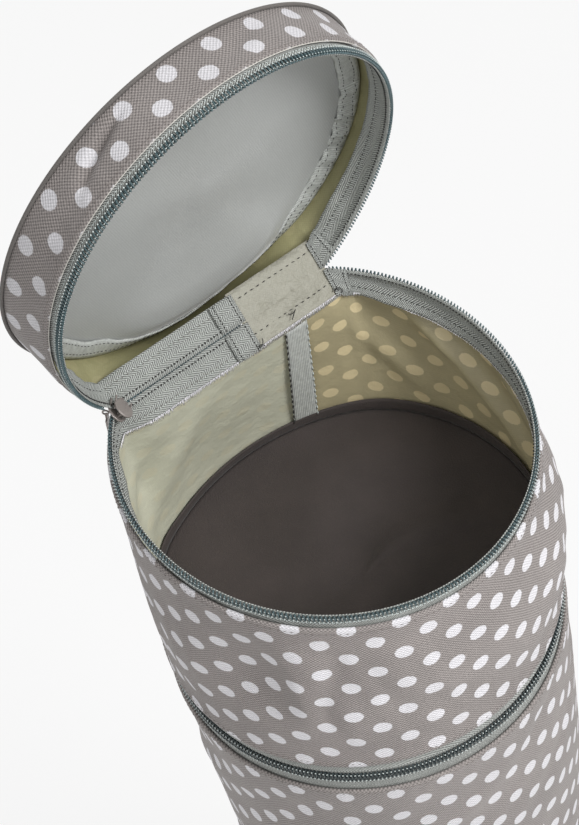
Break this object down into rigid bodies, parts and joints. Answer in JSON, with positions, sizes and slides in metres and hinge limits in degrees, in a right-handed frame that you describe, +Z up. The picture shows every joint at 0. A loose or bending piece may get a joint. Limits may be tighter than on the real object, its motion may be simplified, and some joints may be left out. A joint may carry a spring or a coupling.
{
  "type": "gift wrap organizer",
  "caption": "Tall round fabric bag for rolls of wrapping paper, with a zipped ribbon compartment that tips back on top and a shallow zipped lid.",
  "frame": {"origin": "middle of the base, on the floor", "axes": "+Z up, +Y towards the back seam and the hinge of the ribbon compartment, +X to the right of someone facing the front"},
  "size_m": [0.2484, 0.2875, 1.0517],
  "materials": {
    "base_board": "stiffener sheet",
    "base_panel": "woven polyester with pale dots, coated on its reverse",
    "base_piping": "woven cord cover",
    "base_seam_binding": "ribbed woven binding",
    "compartment_floor": "dark lining cloth",
    "compartment_floor_binding": "ribbed woven binding",
    "compartment_seam_binding": "ribbed woven binding",
    "compartment_wall": "woven polyester with pale dots, coated on its reverse",
    "lid_band": "woven polyester with pale dots, coated on its reverse",
    "lid_board": "stiffener sheet",
    "lid_lining": "thin sheeny lining",
    "lid_panel": "woven polyester with pale dots, coated on its reverse",
    "lid_piping": "woven cord cover",
    "lid_seam_binding": "ribbed woven binding",
    "lower_hinge_panel_compartment": "coated reverse of the outer cloth",
    "lower_hinge_panel_tube": "coated reverse of the outer cloth",
    "lower_slider": "painted die cast metal",
    "lower_slider_pull": "painted die cast metal",
    "lower_zip_coil_compartment": "woven nylon coil, slightly glossy",
    "lower_zip_coil_tube": "woven nylon coil, slightly glossy",
    "lower_zip_end_tab_left_compartment": "herringbone woven tape",
    "lower_zip_end_tab_left_tube": "herringbone woven tape",
    "lower_zip_end_tab_right_compartment": "herringbone woven tape",
    "lower_zip_end_tab_right_tube": "herringbone woven tape",
    "lower_zip_tape_compartment": "herringbone woven tape",
    "lower_zip_tape_tube": "herringbone woven tape",
    "rim_hinge_panel_compartment": "coated reverse of the outer cloth",
    "rim_hinge_panel_lid": "coated reverse of the outer cloth",
    "rim_slider": "painted die cast metal",
    "rim_slider_pull": "painted die cast metal",
    "rim_zip_coil_compartment": "woven nylon coil, slightly glossy",
    "rim_zip_coil_lid_closed_run": "woven nylon coil, slightly glossy",
    "rim_zip_coil_lid_open_run": "woven nylon coil, slightly glossy",
    "rim_zip_end_tab_left_compartment": "herringbone woven tape",
    "rim_zip_end_tab_left_lid": "herringbone woven tape",
    "rim_zip_end_tab_right_compartment": "herringbone woven tape",
    "rim_zip_end_tab_right_lid": "herringbone woven tape",
    "rim_zip_tape_compartment": "herringbone woven tape",
    "rim_zip_tape_lid": "herringbone woven tape",
    "tube_seam_binding": "ribbed woven binding",
    "tube_wall": "woven polyester with pale dots, coated on its reverse"
  },
  "bodies": {
    "tube": {"base_board": "base_board", "base_panel": "base_panel", "base_piping": "base_piping", "base_seam_binding": "base_seam_binding", "lower_hinge_panel_tube": "lower_hinge_panel_tube", "lower_zip_coil_tube": "lower_zip_coil_tube", "lower_zip_end_tab_left_tube": "lower_zip_end_tab_left_tube", "lower_zip_end_tab_right_tube": "lower_zip_end_tab_right_tube", "lower_zip_tape_tube": "lower_zip_tape_tube", "tube_seam_binding": "tube_seam_binding", "tube_wall": "tube_wall"},
    "compartment": {"compartment_floor": "compartment_floor", "compartment_floor_binding": "compartment_floor_binding", "compartment_seam_binding": "compartment_seam_binding", "compartment_wall": "compartment_wall", "lower_hinge_panel_compartment": "lower_hinge_panel_compartment", "lower_zip_coil_compartment": "lower_zip_coil_compartment", "lower_zip_end_tab_left_compartment": "lower_zip_end_tab_left_compartment", "lower_zip_end_tab_right_compartment": "lower_zip_end_tab_right_compartment", "lower_zip_tape_compartment": "lower_zip_tape_compartment", "rim_hinge_panel_compartment": "rim_hinge_panel_compartment", "rim_zip_coil_compartment": "rim_zip_coil_compartment", "rim_zip_end_tab_left_compartment": "rim_zip_end_tab_left_compartment", "rim_zip_end_tab_right_compartment": "rim_zip_end_tab_right_compartment", "rim_zip_tape_compartment": "rim_zip_tape_compartment"},
    "lid": {"lid_band": "lid_band", "lid_board": "lid_board", "lid_lining": "lid_lining", "lid_panel": "lid_panel", "lid_piping": "lid_piping", "lid_seam_binding": "lid_seam_binding", "rim_hinge_panel_lid": "rim_hinge_panel_lid", "rim_zip_coil_lid_closed_run": "rim_zip_coil_lid_closed_run", "rim_zip_coil_lid_open_run": "rim_zip_coil_lid_open_run", "rim_zip_end_tab_left_lid": "rim_zip_end_tab_left_lid", "rim_zip_end_tab_right_lid": "rim_zip_end_tab_right_lid", "rim_zip_tape_lid": "rim_zip_tape_lid"},
    "rim_slider": {"rim_slider": "rim_slider"},
    "rim_slider_pull": {"rim_slider_pull": "rim_slider_pull"},
    "lower_slider": {"lower_slider": "lower_slider"},
    "lower_slider_pull": {"lower_slider_pull": "lower_slider_pull"}
  },
  "joints": [
    {"name": "compartment_hinge", "type": "hinge", "parent": "tube", "child": "compartment", "pos_m": [0, 0.111, 0.715], "axis": [-1, 0, 0], "range_deg": [0, 120]},
    {"name": "lid_hinge", "type": "hinge", "parent": "compartment", "child": "lid", "pos_m": [-0.03783, 0.10441, 0.85344], "axis": [-0.8664, -0.4863, 0.113], "range_deg": [-83, 40]},
    {"name": "rim_slider_travel", "type": "hinge", "parent": "compartment", "child": "rim_slider", "pos_m": [0.0028, 0.0275, 0.834], "axis": [0.1581, -0.0525, 0.986], "range_deg": [0, 261]},
    {"name": "rim_slider_pull_swing", "type": "hinge", "parent": "rim_slider", "child": "rim_slider_pull", "pos_m": [-0.10716, 0.0569, 0.85196], "axis": [0.2598, 0.9656, 0.0098], "range_deg": [-15, 95]},
    {"name": "lower_slider_travel", "type": "hinge", "parent": "tube", "child": "lower_slider", "pos_m": [0, 0, 0.715], "axis": [0, 0, -1], "range_deg": [0, 306]},
    {"name": "lower_slider_pull_swing", "type": "hinge", "parent": "lower_slider", "child": "lower_slider_pull", "pos_m": [0.05038, 0.10377, 0.715], "axis": [0.8996, -0.4367, 0], "range_deg": [0, 80]}
  ]
}
